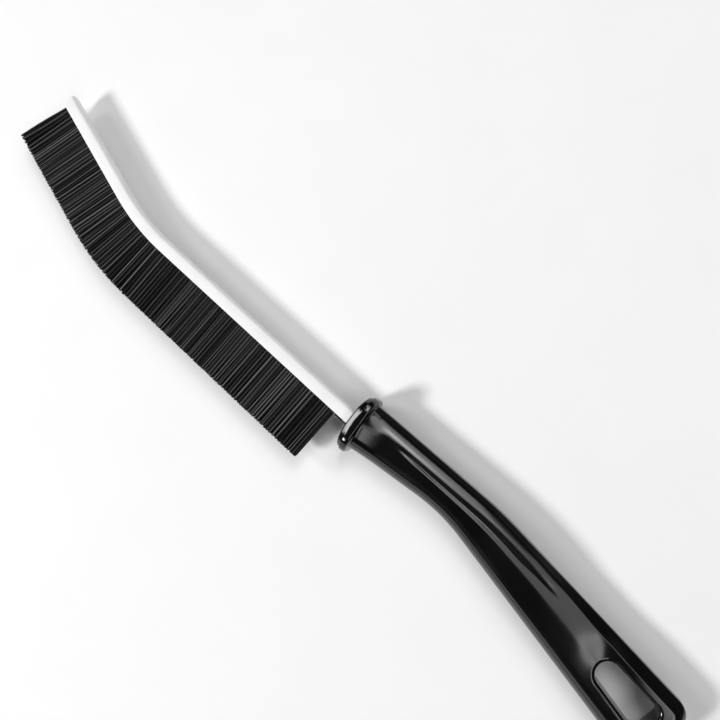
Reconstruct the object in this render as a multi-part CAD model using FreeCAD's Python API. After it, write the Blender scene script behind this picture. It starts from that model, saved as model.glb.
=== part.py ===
import FreeCAD, Part
import math
import os

os.makedirs("parts", exist_ok=True)

# A crevice brush lying on its side. X runs towards the brush's tip, Y towards the bristles and Z up,
# through the brush's thickness. Until the last section, the origin is where the mouth of the metal
# channel leaves the guard, at the middle of the thickness. Sizes are in millimetres and degrees.

# Channel: a folded metal strip that holds the bristles and is bent once
CHANNEL_HEIGHT = 3.6
CHANNEL_WIDTH = 4.0
SHEET = 0.5
FOLD_RADIUS = 1.0
MAIN_LENGTH = 71.5
BEND_RADIUS = 70.0
BEND_ANGLE = 16.8
TIP_LENGTH = 32.8
TANG_LENGTH = 20.0

# Bristles: stiff filaments folded over a wire and clamped in the channel
BRISTLE_FREE = 16.0
BRISTLE_FLARE = 0.6
BARE_AT_GUARD = 5.0
BARE_AT_TIP = 0.5
TIP_SPLAY = 1.6
MAIN_TUFTS = 11
BEND_TUFTS = 4
TIP_TUFTS = 5
TUFT_GAP = 0.2
FLEX_CLEARANCE = 0.3
WIRE_DIAMETER = 1.1
WIRE_BED = 0.6
PRESS_CLEARANCE = 0.05

# Guard: the domed collar at the front of the handle
GUARD_WIDTH = 16.3
GUARD_HEIGHT = 13.0
GUARD_DOME = 1.0
GUARD_RIM = 2.7
GUARD_CORNER = 4.5
GUARD_ROUND = 1.1
NECK_TURN = 5.5

# Handle, in stations behind the guard's crown and offsets from the middle line of the channel
NECK_BELLY = 5.8
NECK_BACK = 7.6
BELLY_WAIST_STATION = 33.0
BELLY_WAIST = 2.1
BELLY_WAIST_RADIUS = 50.0
BACK_WAIST_STATION = 44.0
BACK_WAIST = 8.7
BACK_WAIST_RADIUS = 110.0
BUTT_STATION = 107.5
BUTT_OFFSET = 6.2
BUTT_WIDTH = 19.3
BUTT_CORNER = 4.6
HANDLE_THICKNESS = 10.0
HANDLE_ROUND = 3.6
CROWN_RADIUS = 45.0
SOCKET_CLEARANCE = 0.1

# Hang slot near the butt
SLOT_LENGTH = 18.0
SLOT_FRONT_WIDTH = 6.8
SLOT_REAR_WIDTH = 9.4
SLOT_REAR_CORNER = 2.2
SLOT_RIM = 1.0
BUTT_WALL = 5.6

# Flute along the back of each face of the handle
FLUTE_FROM_BACK = 4.2
FLUTE_WIDTH = 1.9
FLUTE_DEPTH = 0.5
FLUTE_START = 13.0
FLUTE_END = 66.0
FLUTE_RUNOUT = 9.0

# Values that follow from the sizes above
V = FreeCAD.Vector
UP = V(0, 0, 1)
BEND_LENGTH = BEND_RADIUS * math.radians(BEND_ANGLE)
BEND_END = MAIN_LENGTH + BEND_LENGTH
CHANNEL_END = BEND_END + TIP_LENGTH
MIDDLE_LINE = -CHANNEL_HEIGHT / 2
MOUTH_WIDTH = CHANNEL_WIDTH - 2 * SHEET
FLOOR = SHEET - CHANNEL_HEIGHT
WIDEST_ROUND = 0.45
FOLD = min(FOLD_RADIUS, WIDEST_ROUND * CHANNEL_WIDTH)
INNER_FOLD = max(FOLD - SHEET, 0)
SAME_PLACE = 0.001


# Shared geometry

def corner_arc(last, corner, after, radius):
    """Start, crown and end of the arc of that radius that rounds a corner between two neighbours."""
    to_last = (last - corner).normalize()
    to_next = (after - corner).normalize()
    half = to_last.getAngle(to_next) / 2
    reach = radius / math.tan(half)
    crown = corner + (to_last + to_next).normalize() * (radius / math.sin(half) - radius)
    return corner + to_last * reach, crown, corner + to_next * reach


def rounded_wire(corners):
    """Closed wire round corners of (point, radius): straight runs joined by tangent arcs."""
    points = [point for point, radius in corners]
    arcs = []
    for i, (point, radius) in enumerate(corners):
        arcs.append(corner_arc(points[i - 1], point, points[(i + 1) % len(points)], radius))
    edges = []
    for i, (start, crown, end) in enumerate(arcs):
        last_end = arcs[i - 1][2]
        if (start - last_end).Length > SAME_PLACE:
            edges.append(Part.LineSegment(last_end, start).toShape())
        if (end - start).Length > SAME_PLACE:
            edges.append(Part.Arc(start, crown, end).toShape())
    return Part.Wire(edges)


def bent_run(start, corner, end, radius):
    """Edges of two straight runs joined by one tangent arc at the corner."""
    arc_start, crown, arc_end = corner_arc(start, corner, end, radius)
    first = Part.LineSegment(start, arc_start)
    arc = Part.Arc(arc_start, crown, arc_end)
    last = Part.LineSegment(arc_end, end)
    return [first.toShape(), arc.toShape(), last.toShape()]


def slab(wire, thickness):
    """Flat wire in the middle plane, thickened evenly up and down."""
    solid = Part.Face(wire).extrude(UP * thickness)
    solid.translate(UP * (-thickness / 2))
    return solid


def sweep(section, path):
    """Solid of one closed section carried along a path."""
    return path.makePipeShell([section], True, False)


def along_channel(station):
    """Direction of the mouth line at a station, towards the tip."""
    turn = max(0, min(station - MAIN_LENGTH, BEND_LENGTH)) / BEND_RADIUS
    return V(math.cos(turn), -math.sin(turn), 0)


def on_channel(station, offset):
    """Point in the middle plane: station along the mouth line, offset towards the bristle tips."""
    if station <= MAIN_LENGTH:
        return V(station, offset, 0)
    along = along_channel(station)
    past_bend = max(0, station - BEND_END)
    bend_centre = V(MAIN_LENGTH, -BEND_RADIUS, 0)
    return bend_centre + UP.cross(along) * (BEND_RADIUS + offset) + along * past_bend


def channel_path(start, end, offset):
    """Straight run, bend and straight run, beside the mouth line."""
    main_end = on_channel(MAIN_LENGTH, offset)
    bend_crown = on_channel((MAIN_LENGTH + BEND_END) / 2, offset)
    tip_start = on_channel(BEND_END, offset)
    main_run = Part.LineSegment(on_channel(start, offset), main_end)
    bend = Part.Arc(main_end, bend_crown, tip_start)
    tip_run = Part.LineSegment(tip_start, on_channel(end, offset))
    return Part.Wire([main_run.toShape(), bend.toShape(), tip_run.toShape()])


# Channel: a U in section, with its back folded round and its mouth open to the bristles

def channel_section(start):
    half = CHANNEL_WIDTH / 2
    inner_half = MOUTH_WIDTH / 2
    return rounded_wire([
        (V(start, 0, half), 0),
        (V(start, -CHANNEL_HEIGHT, half), FOLD),
        (V(start, -CHANNEL_HEIGHT, -half), FOLD),
        (V(start, 0, -half), 0),
        (V(start, 0, -inner_half), 0),
        (V(start, FLOOR, -inner_half), INNER_FOLD),
        (V(start, FLOOR, inner_half), INNER_FOLD),
        (V(start, 0, inner_half), 0),
    ])


channel = sweep(channel_section(-TANG_LENGTH), channel_path(-TANG_LENGTH, CHANNEL_END, 0))

# Core wire: lies in the bottom of the channel for its whole length, with the filaments folded over it
WIRE_OFFSET = FLOOR + WIRE_BED + WIRE_DIAMETER / 2


def wire_tube(diameter, start, end):
    circle = Part.Circle(on_channel(start, WIRE_OFFSET), V(1, 0, 0), diameter / 2)
    return sweep(Part.Wire(circle.toShape()), channel_path(start, end, WIRE_OFFSET))


core_wire = wire_tube(WIRE_DIAMETER, -TANG_LENGTH, CHANNEL_END)

# Bristle roots: the clamped folds of the filaments, packed round the wire and level with the mouth
ROOTS_START = -GUARD_RIM


def roots_section(start):
    half = MOUTH_WIDTH / 2 - PRESS_CLEARANCE
    bottom = FLOOR + PRESS_CLEARANCE
    return rounded_wire([
        (V(start, 0, half), 0),
        (V(start, bottom, half), INNER_FOLD),
        (V(start, bottom, -half), INNER_FOLD),
        (V(start, 0, -half), 0),
    ])


roots = sweep(roots_section(ROOTS_START), channel_path(ROOTS_START, CHANNEL_END, 0))
wire_bore = wire_tube(WIRE_DIAMETER + 2 * PRESS_CLEARANCE, ROOTS_START - SHEET, CHANNEL_END + SHEET)
bristle_roots = roots.cut(wire_bore)

# Bristle tufts: the free filaments in short bunches side by side, each bending about its own root.
# A bunch is rounded about its bending line, and the bunches at the bend are wedges that fan out.
PIVOT_OFFSET = FLEX_CLEARANCE + MOUTH_WIDTH / 2


def tuft_spans():
    """(start, end) along the mouth line of every bunch, from the guard to the tip."""
    runs = [
        (BARE_AT_GUARD, MAIN_LENGTH, MAIN_TUFTS),
        (MAIN_LENGTH, BEND_END, BEND_TUFTS),
        (BEND_END, CHANNEL_END - BARE_AT_TIP, TIP_TUFTS),
    ]
    spans = []
    for start, end, count in runs:
        pitch = (end - start) / count
        spans += [(start + i * pitch, start + (i + 1) * pitch) for i in range(count)]
    return spans


def tuft_section():
    """Face of a bunch cut across the channel, with Y from the mouth and Z across the filaments."""
    half_root = MOUTH_WIDTH / 2
    half_end = (MOUTH_WIDTH + BRISTLE_FLARE) / 2
    root_low = V(0, PIVOT_OFFSET, -half_root)
    root_high = V(0, PIVOT_OFFSET, half_root)
    end_low = V(0, BRISTLE_FREE, -half_end)
    end_high = V(0, BRISTLE_FREE, half_end)
    root = Part.Arc(root_high, V(0, FLEX_CLEARANCE, 0), root_low)
    lower = Part.LineSegment(root_low, end_low)
    end = Part.LineSegment(end_low, end_high)
    upper = Part.LineSegment(end_high, root_high)
    return Part.Face(Part.Wire([curve.toShape() for curve in (root, lower, end, upper)]))


def tuft_plan(start, end, splay):
    """Outline of a bunch seen from its side, past its root and its ends; splay leans its last filaments."""
    gap = TUFT_GAP / 2
    beyond = BRISTLE_FREE + CHANNEL_WIDTH
    start_along = along_channel(start)
    end_along = along_channel(end)
    splay_beyond = splay * beyond / BRISTLE_FREE
    start_root = on_channel(start, 0) + start_along * gap
    start_end = on_channel(start, beyond) + start_along * gap
    end_end = on_channel(end, beyond) + end_along * (splay_beyond - gap)
    end_root = on_channel(end, 0) - end_along * gap
    return Part.makePolygon([start_root, start_end, end_end, end_root, start_root])


def tuft(start, end, splay):
    """One bunch between two stations along the mouth line."""
    middle = (start + end) / 2
    length = end - start + 2 * BRISTLE_FREE
    bar = tuft_section().extrude(V(length, 0, 0))
    bar.translate(V(-length / 2, 0, 0))
    turn = FreeCAD.Rotation(V(1, 0, 0), along_channel(middle))
    bar.Placement = FreeCAD.Placement(on_channel(middle, 0), turn) * bar.Placement
    return bar.common(slab(tuft_plan(start, end, splay), 2 * CHANNEL_WIDTH))


spans = tuft_spans()
tufts = {}
bending_lines = {}
for number, (start, end) in enumerate(spans, 1):
    name = f"bristle_tuft_{number:02d}"
    splay = TIP_SPLAY if number == len(spans) else 0
    middle = (start + end) / 2
    tufts[name] = tuft(start, end, splay)
    bending_lines[name] = (on_channel(middle, PIVOT_OFFSET), along_channel(middle))

# Handle: one moulding with the guard on its front, a socket for the channel's tang, and a hang slot

def guard():
    """Upright plate with a domed front, rounded corners and a rounded rim, turned to face along the neck."""
    half = GUARD_WIDTH / 2
    rear = GUARD_DOME + GUARD_RIM
    crown = V(0, 0, 0)
    front_back = V(-GUARD_DOME, -half, 0)
    front_belly = V(-GUARD_DOME, half, 0)
    rear_belly = V(-rear, half, 0)
    rear_back = V(-rear, -half, 0)
    dome = Part.Arc(front_back, crown, front_belly)
    belly = Part.LineSegment(front_belly, rear_belly)
    rear_face = Part.LineSegment(rear_belly, rear_back)
    back = Part.LineSegment(rear_back, front_back)
    outline = Part.Wire([curve.toShape() for curve in (dome, belly, rear_face, back)])
    plate = slab(outline, GUARD_HEIGHT)
    corners = [edge for edge in plate.Edges if max(edge.BoundBox.YLength, edge.BoundBox.ZLength) < SAME_PLACE]
    plate = plate.makeFillet(min(GUARD_CORNER, WIDEST_ROUND * GUARD_HEIGHT), corners)
    faces = sorted(plate.Faces, key=lambda face: face.CenterOfMass.x)
    rims = faces[0].Edges + faces[-1].Edges
    plate = plate.makeFillet(min(GUARD_ROUND, WIDEST_ROUND * GUARD_RIM), rims)
    plate.rotate(crown, UP, NECK_TURN)
    plate.translate(V(0, MIDDLE_LINE, 0))
    return plate


FACE_HEIGHT = HANDLE_THICKNESS / 2
NECK_START = GUARD_DOME + GUARD_RIM / 2
neck_belly = V(-NECK_START, MIDDLE_LINE + NECK_BELLY, 0)
neck_back = V(-NECK_START, MIDDLE_LINE - NECK_BACK, 0)
belly_waist = V(-BELLY_WAIST_STATION, MIDDLE_LINE + BELLY_WAIST, 0)
back_waist = V(-BACK_WAIST_STATION, MIDDLE_LINE - BACK_WAIST, 0)
butt_middle = V(-BUTT_STATION, MIDDLE_LINE + BUTT_OFFSET, 0)
neck_middle = (neck_belly + neck_back) * 0.5
waist_middle = (belly_waist + back_waist) * 0.5
grip_along = (waist_middle - butt_middle).normalize()
grip_across = UP.cross(grip_along)
butt_belly = butt_middle + grip_across * (BUTT_WIDTH / 2)
butt_back = butt_middle - grip_across * (BUTT_WIDTH / 2)
handle_round = min(HANDLE_ROUND, WIDEST_ROUND * HANDLE_THICKNESS, 2 * WIDEST_ROUND * BUTT_CORNER)


def crown_tube(side):
    """Wide tube along the handle's middle line whose crest is the crowned face on that side."""
    start = neck_middle + (neck_middle - waist_middle).normalize() * BUTT_WIDTH
    end = butt_middle - grip_along * BUTT_WIDTH
    sunk = UP * side * (FACE_HEIGHT - CROWN_RADIUS)
    waist_radius = (BELLY_WAIST_RADIUS + BACK_WAIST_RADIUS) / 2
    path = Part.Wire(bent_run(start + sunk, waist_middle + sunk, end + sunk, waist_radius))
    circle = Part.Circle(start + sunk, (waist_middle - start).normalize(), CROWN_RADIUS)
    return sweep(Part.Wire(circle.toShape()), path)


slot_rear = butt_middle + grip_along * BUTT_WALL
slot_front = slot_rear + grip_along * SLOT_LENGTH


def slot_outline():
    """Tapered opening, round in front and square with rounded corners at the butt."""
    front_half = SLOT_FRONT_WIDTH / 2
    rear_half = SLOT_REAR_WIDTH / 2
    lean = math.atan((rear_half - front_half) / SLOT_LENGTH)
    front_round = front_half * math.tan((math.pi / 2 + lean) / 2)
    rear_round = min(SLOT_REAR_CORNER, WIDEST_ROUND * SLOT_REAR_WIDTH)
    return rounded_wire([
        (slot_rear + grip_across * rear_half, rear_round),
        (slot_front + grip_across * front_half, front_round),
        (slot_front - grip_across * front_half, front_round),
        (slot_rear - grip_across * rear_half, rear_round),
    ])


def wall_rims(body, opening, at_opening):
    """Edges where an upright wall meets an upper or lower face, either at the opening or away from it."""
    walls = []
    for face in body.Faces:
        box = face.BoundBox
        if box.ZLength > FACE_HEIGHT and box.XMin < -NECK_START - SAME_PLACE:
            walls.append(face)
    wall_edges = Part.makeCompound(walls).Edges
    rims = []
    for edge in body.Edges:
        box = edge.BoundBox
        level = box.ZLength < FACE_HEIGHT / 2 and abs(box.Center.z) > FACE_HEIGHT / 2
        touches = edge.distToShape(opening)[0] < SAME_PLACE
        if level and touches == at_opening and any(edge.isSame(other) for other in wall_edges):
            rims.append(edge)
    return rims


def grip_body():
    """Handle outline as a slab with an eased slot, crowned faces and every long edge well rounded."""
    outline = rounded_wire([
        (neck_belly, 0),
        (belly_waist, BELLY_WAIST_RADIUS),
        (butt_belly, BUTT_CORNER),
        (butt_back, BUTT_CORNER),
        (back_waist, BACK_WAIST_RADIUS),
        (neck_back, 0),
    ])
    opening = slab(slot_outline(), HANDLE_THICKNESS)
    opened = slab(outline, HANDLE_THICKNESS).cut(opening)
    eased = opened.makeFillet(SLOT_RIM, wall_rims(opened, opening, True))
    crowned = eased.common(crown_tube(1)).common(crown_tube(-1))
    return crowned.makeFillet(handle_round, wall_rims(crowned, opening, False))


def runout(point, away):
    """Middle and end of the arc that lifts the flute's cutter clear of the face past one end."""
    radius = (FLUTE_RUNOUT ** 2 + FLUTE_DEPTH ** 2) / (2 * FLUTE_DEPTH)
    full_turn = math.asin(FLUTE_RUNOUT / radius)
    lifted = []
    for turn in (full_turn / 2, full_turn):
        lifted.append(point + away * radius * math.sin(turn) + UP * radius * (1 - math.cos(turn)))
    return lifted


def flute_cutter():
    """Round bar that follows the back edge just above the face and lifts out of it at both ends."""
    bar_radius = ((FLUTE_WIDTH / 2) ** 2 + FLUTE_DEPTH ** 2) / (2 * FLUTE_DEPTH)
    to_neck = (neck_back - back_waist).normalize()
    to_butt = (butt_back - back_waist).normalize()
    half = to_neck.getAngle(to_butt) / 2
    inward = (to_neck + to_butt).normalize() * (FLUTE_FROM_BACK / math.sin(half))
    corner = back_waist + inward + UP * (FACE_HEIGHT + bar_radius - FLUTE_DEPTH)
    start = corner + to_neck * (BACK_WAIST_STATION - FLUTE_START)
    end = corner + to_butt * (FLUTE_END - BACK_WAIST_STATION)
    front_middle, front = runout(start, to_neck)
    rear_middle, rear = runout(end, to_butt)
    lead_in = Part.Arc(front, front_middle, start).toShape()
    lead_out = Part.Arc(end, rear_middle, rear).toShape()
    run = bent_run(start, corner, end, BACK_WAIST_RADIUS - FLUTE_FROM_BACK)
    section = Part.Circle(front, lead_in.tangentAt(lead_in.FirstParameter), bar_radius)
    return sweep(Part.Wire(section.toShape()), Part.Wire([lead_in, *run, lead_out]))


def tang_socket():
    """Pocket that takes the channel's tang and stops it at its end."""
    width = CHANNEL_WIDTH + 2 * SOCKET_CLEARANCE
    height = CHANNEL_HEIGHT + 2 * SOCKET_CLEARANCE
    length = TANG_LENGTH + GUARD_RIM
    corner = V(-TANG_LENGTH, -CHANNEL_HEIGHT - SOCKET_CLEARANCE, -width / 2)
    return Part.makeBox(length, height, width, corner)


flute = flute_cutter()
grip = grip_body().cut(flute).cut(flute.mirror(V(0, 0, 0), UP))
handle = grip.fuse(guard()).cut(tang_socket())

# Put the origin under the middle of the whole brush, on the surface that it lies on
pieces = {"handle": handle, "channel": channel, "core_wire": core_wire, "bristle_roots": bristle_roots}
pieces.update(tufts)
box = Part.makeCompound(list(pieces.values())).optimalBoundingBox(False)
to_origin = V(-box.Center.x, -box.Center.y, -box.ZMin)
for name, shape in pieces.items():
    shape.translate(to_origin)
    solid = shape.Solids[0]
    solid.exportStep(f"parts/{name}.step")
    print(name, len(shape.Solids), solid.isValid(), round(solid.Volume, 1))
print("size", round(box.XLength, 2), round(box.YLength, 2), round(box.ZLength, 2))
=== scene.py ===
import math

import bmesh
import bpy
import numpy as np
from mathutils import Matrix, Vector


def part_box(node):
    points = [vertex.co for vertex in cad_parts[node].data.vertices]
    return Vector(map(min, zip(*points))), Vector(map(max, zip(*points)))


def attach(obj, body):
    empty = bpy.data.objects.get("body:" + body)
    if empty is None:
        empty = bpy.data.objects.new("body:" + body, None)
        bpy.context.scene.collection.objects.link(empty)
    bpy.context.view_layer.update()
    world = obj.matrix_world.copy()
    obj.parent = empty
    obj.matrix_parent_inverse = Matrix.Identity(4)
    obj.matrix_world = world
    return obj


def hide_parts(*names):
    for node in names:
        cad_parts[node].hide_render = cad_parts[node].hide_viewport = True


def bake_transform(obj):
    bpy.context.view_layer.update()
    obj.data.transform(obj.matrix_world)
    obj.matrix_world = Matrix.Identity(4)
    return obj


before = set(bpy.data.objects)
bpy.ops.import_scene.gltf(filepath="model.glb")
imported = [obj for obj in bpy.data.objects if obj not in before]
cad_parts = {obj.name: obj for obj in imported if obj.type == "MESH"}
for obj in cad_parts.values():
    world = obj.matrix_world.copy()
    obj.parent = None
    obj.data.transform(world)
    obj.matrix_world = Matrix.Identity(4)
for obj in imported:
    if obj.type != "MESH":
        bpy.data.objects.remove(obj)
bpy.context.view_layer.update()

bpy.context.scene.view_settings.view_transform = "Standard"

# Channel: one strip of pale zinc-plated steel, folded to a U and bent once away from the bristles.
# Its walls are pressed on the folded bristles, and its tang is pushed into the handle.
MM = 0.001
CHANNEL_HEIGHT = 3.6
CHANNEL_WIDTH = 4.0
SHEET = 0.5
FOLD_RADIUS = 1.0
CUT_EDGE_ROUND = 0.14
MAIN_LENGTH = 71.5
BEND_RADIUS = 70.0
BEND_ANGLE = 16.8
TIP_LENGTH = 32.8
TANG_LENGTH = 20.0
TIP_CUT_SLANT = 0.9
RING_PITCH = 1.0
FOLD_STEPS = 8
STEEL_SHARP_ANGLE = math.radians(50)

BEND_LENGTH = BEND_RADIUS * math.radians(BEND_ANGLE)
BEND_END = MAIN_LENGTH + BEND_LENGTH
CHANNEL_END = BEND_END + TIP_LENGTH
MOUTH_WIDTH = CHANNEL_WIDTH - 2 * SHEET
FLOOR = SHEET - CHANNEL_HEIGHT
channel_low, channel_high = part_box("channel")
MOUTH_START = np.array([
    channel_low.x + TANG_LENGTH * MM,
    channel_high.y,
    (channel_low.z + channel_high.z) / 2,
])


def on_channel(station, offset, height):
    """Points in metres: station along the mouth, offset to the bristle tips, height from the middle."""
    turn = np.clip(station - MAIN_LENGTH, 0, BEND_LENGTH) / BEND_RADIUS
    before_bend = np.minimum(station, MAIN_LENGTH)
    past_bend = np.maximum(station - BEND_END, 0)
    reach = BEND_RADIUS + offset
    x = before_bend + reach * np.sin(turn) + past_bend * np.cos(turn)
    y = reach * np.cos(turn) - BEND_RADIUS - past_bend * np.sin(turn)
    return MOUTH_START + MM * np.stack(np.broadcast_arrays(x, y, height), axis=-1)


def unit(vector):
    return vector / np.linalg.norm(vector)


def rounded_loop(corners, arc_steps):
    """Closed loop of plane points round corners of (x, y, radius), with arc_steps steps on every arc."""
    points = [np.array(corner[:2]) for corner in corners]
    loop = []
    for i, (x, y, radius) in enumerate(corners):
        to_last = unit(points[i - 1] - points[i])
        to_next = unit(points[(i + 1) % len(points)] - points[i])
        half = math.acos(to_last @ to_next) / 2
        centre = points[i] + unit(to_last + to_next) * radius / math.sin(half)
        reach = radius / math.tan(half)
        first_spoke = points[i] + to_last * reach - centre
        last_spoke = points[i] + to_next * reach - centre
        sweep = math.pi - 2 * half
        for step in range(arc_steps + 1):
            done = step / arc_steps * sweep
            spoke = first_spoke * math.sin(sweep - done) + last_spoke * math.sin(done)
            loop.append(centre + spoke / math.sin(sweep))
    return np.array(loop)


def tube_faces(rings, around):
    """Quads between closed rings of points, and one face on each end."""
    faces = []
    for ring in range(rings - 1):
        for i in range(around):
            here = ring * around
            following = (i + 1) % around
            faces.append((here + i, here + following, here + around + following, here + around + i))
    faces.append(tuple(reversed(range(around))))
    faces.append(tuple(range((rings - 1) * around, rings * around)))
    return faces


def make_piece(name, points, faces, material, sharp_angle):
    """Smooth mesh object whose edges stay crisp above the sharp angle."""
    mesh = bpy.data.meshes.new(name)
    mesh.from_pydata(points.reshape(-1, 3).tolist(), [], faces)
    mesh.materials.append(material)
    mesh.shade_smooth()
    mesh.set_sharp_from_angle(angle=sharp_angle)
    piece = bpy.data.objects.new(name, mesh)
    bpy.context.collection.objects.link(piece)
    return piece


def new_finish(name):
    """Node material with its shader, ready for textures in the piece's own space."""
    material = bpy.data.materials.new(name)
    material.use_nodes = True
    return material, material.node_tree.nodes["Principled BSDF"]


def noise_for(material, stretch, detail=3.0):
    """Noise in the piece's own space; stretch gives the number of spots per metre along each axis."""
    nodes = material.node_tree.nodes
    links = material.node_tree.links
    place = nodes.new("ShaderNodeTexCoord")
    mapping = nodes.new("ShaderNodeMapping")
    mapping.inputs["Scale"].default_value = stretch
    noise = nodes.new("ShaderNodeTexNoise")
    noise.inputs["Scale"].default_value = 1.0
    noise.inputs["Detail"].default_value = detail
    links.new(place.outputs["Object"], mapping.inputs["Vector"])
    links.new(mapping.outputs["Vector"], noise.inputs["Vector"])
    return noise.outputs["Fac"]


def spread_to(material, source, socket, low, high, spread=(0.35, 0.65)):
    """Drives a shader socket from a texture, from low to high over the middle of its range."""
    ranged = material.node_tree.nodes.new("ShaderNodeMapRange")
    ranged.inputs["From Min"].default_value = spread[0]
    ranged.inputs["From Max"].default_value = spread[1]
    ranged.inputs["To Min"].default_value = low
    ranged.inputs["To Max"].default_value = high
    material.node_tree.links.new(source, ranged.inputs["Value"])
    material.node_tree.links.new(ranged.outputs["Result"], socket)


def shade_to(material, source, socket, dark, pale, spread=(0.3, 0.7)):
    """Drives a colour socket from a texture, between a dark and a pale colour."""
    ramp = material.node_tree.nodes.new("ShaderNodeValToRGB")
    ramp.color_ramp.elements[0].position = spread[0]
    ramp.color_ramp.elements[0].color = (*dark, 1)
    ramp.color_ramp.elements[1].position = spread[1]
    ramp.color_ramp.elements[1].color = (*pale, 1)
    material.node_tree.links.new(source, ramp.inputs["Fac"])
    material.node_tree.links.new(ramp.outputs["Color"], socket)


def bump_to(material, source, shader, depth):
    """Raises the surface by a texture, depth metres at its fullest."""
    bump = material.node_tree.nodes.new("ShaderNodeBump")
    bump.inputs["Distance"].default_value = depth
    bump.inputs["Strength"].default_value = 1.0
    material.node_tree.links.new(source, bump.inputs["Height"])
    material.node_tree.links.new(bump.outputs["Normal"], shader.inputs["Normal"])


ZINC_METALLIC = 0.08
ZINC_DARK = (0.84, 0.84, 0.845)
ZINC_PALE = (0.9, 0.9, 0.9)
ZINC_SMOOTHEST = 0.45
ZINC_ROUGHEST = 0.6
ROLLED_STREAKS = (60, 900, 900)
ZINC_CLOUDS = (110, 160, 160)
STREAK_DEPTH = 0.00002
zinc, zinc_shader = new_finish("pale_zinc_steel")
zinc_shader.inputs["Metallic"].default_value = ZINC_METALLIC
rolled_streaks = noise_for(zinc, ROLLED_STREAKS)
clouding = noise_for(zinc, ZINC_CLOUDS)
shade_to(zinc, clouding, zinc_shader.inputs["Base Color"], ZINC_DARK, ZINC_PALE)
spread_to(zinc, rolled_streaks, zinc_shader.inputs["Roughness"], ZINC_SMOOTHEST, ZINC_ROUGHEST)
bump_to(zinc, rolled_streaks, zinc_shader, STREAK_DEPTH)

half_width = CHANNEL_WIDTH / 2
half_mouth = MOUTH_WIDTH / 2
channel_section = rounded_loop([
    (0, half_width, CUT_EDGE_ROUND),
    (0, half_mouth, CUT_EDGE_ROUND),
    (FLOOR, half_mouth, FOLD_RADIUS - SHEET),
    (FLOOR, -half_mouth, FOLD_RADIUS - SHEET),
    (0, -half_mouth, CUT_EDGE_ROUND),
    (0, -half_width, CUT_EDGE_ROUND),
    (-CHANNEL_HEIGHT, -half_width, FOLD_RADIUS),
    (-CHANNEL_HEIGHT, half_width, FOLD_RADIUS),
], FOLD_STEPS)[::-1]
ring_count = round((CHANNEL_END + TANG_LENGTH) / RING_PITCH)
ring_stations = np.linspace(-TANG_LENGTH, CHANNEL_END, ring_count)[:, None]
section_offset = channel_section[None, :, 0]
section_height = channel_section[None, :, 1]
tip_ring = (ring_stations > CHANNEL_END - RING_PITCH / 2).astype(float)
tip_slant = -tip_ring * TIP_CUT_SLANT * section_offset / CHANNEL_HEIGHT
channel_points = on_channel(ring_stations + tip_slant, section_offset, section_height)
channel_faces = tube_faces(ring_count, len(channel_section))
channel = make_piece("folded_channel", channel_points, channel_faces, zinc, STEEL_SHARP_ANGLE)
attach(channel, "brush")
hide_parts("channel")

# Core wire: bright drawn steel wire, lying in the bottom of the channel for its whole length.
# The bristles are folded over it, which is what keeps them in the channel.
WIRE_DIAMETER = 1.1
WIRE_BED = 0.6
WIRE_AROUND = 20
WIRE_END_ROUND = 0.12
WIRE_OFFSET = FLOOR + WIRE_BED + WIRE_DIAMETER / 2

WIRE_DARK = (0.42, 0.42, 0.43)
WIRE_PALE = (0.62, 0.62, 0.63)
WIRE_SMOOTHEST = 0.25
WIRE_ROUGHEST = 0.42
DIE_LINES = (40, 4000, 4000)
DIE_LINE_DEPTH = 0.00001
drawn_wire, drawn_wire_shader = new_finish("drawn_wire")
drawn_wire_shader.inputs["Metallic"].default_value = 1.0
die_lines = noise_for(drawn_wire, DIE_LINES)
shade_to(drawn_wire, die_lines, drawn_wire_shader.inputs["Base Color"], WIRE_DARK, WIRE_PALE)
spread_to(drawn_wire, die_lines, drawn_wire_shader.inputs["Roughness"], WIRE_SMOOTHEST, WIRE_ROUGHEST)
bump_to(drawn_wire, die_lines, drawn_wire_shader, DIE_LINE_DEPTH)

wire_turns = np.linspace(0, 2 * math.pi, WIRE_AROUND, endpoint=False)
wire_ends = [CHANNEL_END - WIRE_END_ROUND, CHANNEL_END]
wire_stations = np.concatenate([[-TANG_LENGTH], ring_stations[1:-1, 0], wire_ends])
wire_radius = np.full(len(wire_stations), WIRE_DIAMETER / 2)
wire_radius[[0, -1]] -= WIRE_END_ROUND
wire_offsets = WIRE_OFFSET + wire_radius[:, None] * np.cos(wire_turns)
wire_heights = wire_radius[:, None] * np.sin(wire_turns)
wire_points = on_channel(wire_stations[:, None], wire_offsets, wire_heights)
wire_faces = tube_faces(len(wire_stations), WIRE_AROUND)
core_wire = make_piece("core_wire_drawn", wire_points, wire_faces, drawn_wire, STEEL_SHARP_ANGLE)
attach(core_wire, "brush")
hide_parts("core_wire")

# Bristle roots: black nylon filaments bent double over the core wire and clamped by the channel's walls.
# Near the guard, where no bristles stand, their cut ends show as a dark line in the channel's mouth.
FILAMENT_RADIUS = 0.16
FILAMENT_SIDES = 6
ROOT_PITCH = 0.4
ROOT_LAYERS = 3
ROOT_BEND_STEPS = 6
ROOT_SWAY = 0.05
ROOTS_START = -2.7
BARE_AT_GUARD = 5.0
STUB_REACH = 0.55
STUB_SCATTER = 0.3
ROOT_GLINT_POWER = 4.5
NYLON_SHARP_ANGLE = math.radians(70)
SEED = 20
draw = np.random.default_rng(SEED)

# Black nylon whose base colour runs from black to a pale grey by a per-filament layer: the pale end is a
# painted highlight, standing in for glints along the filaments.
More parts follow.
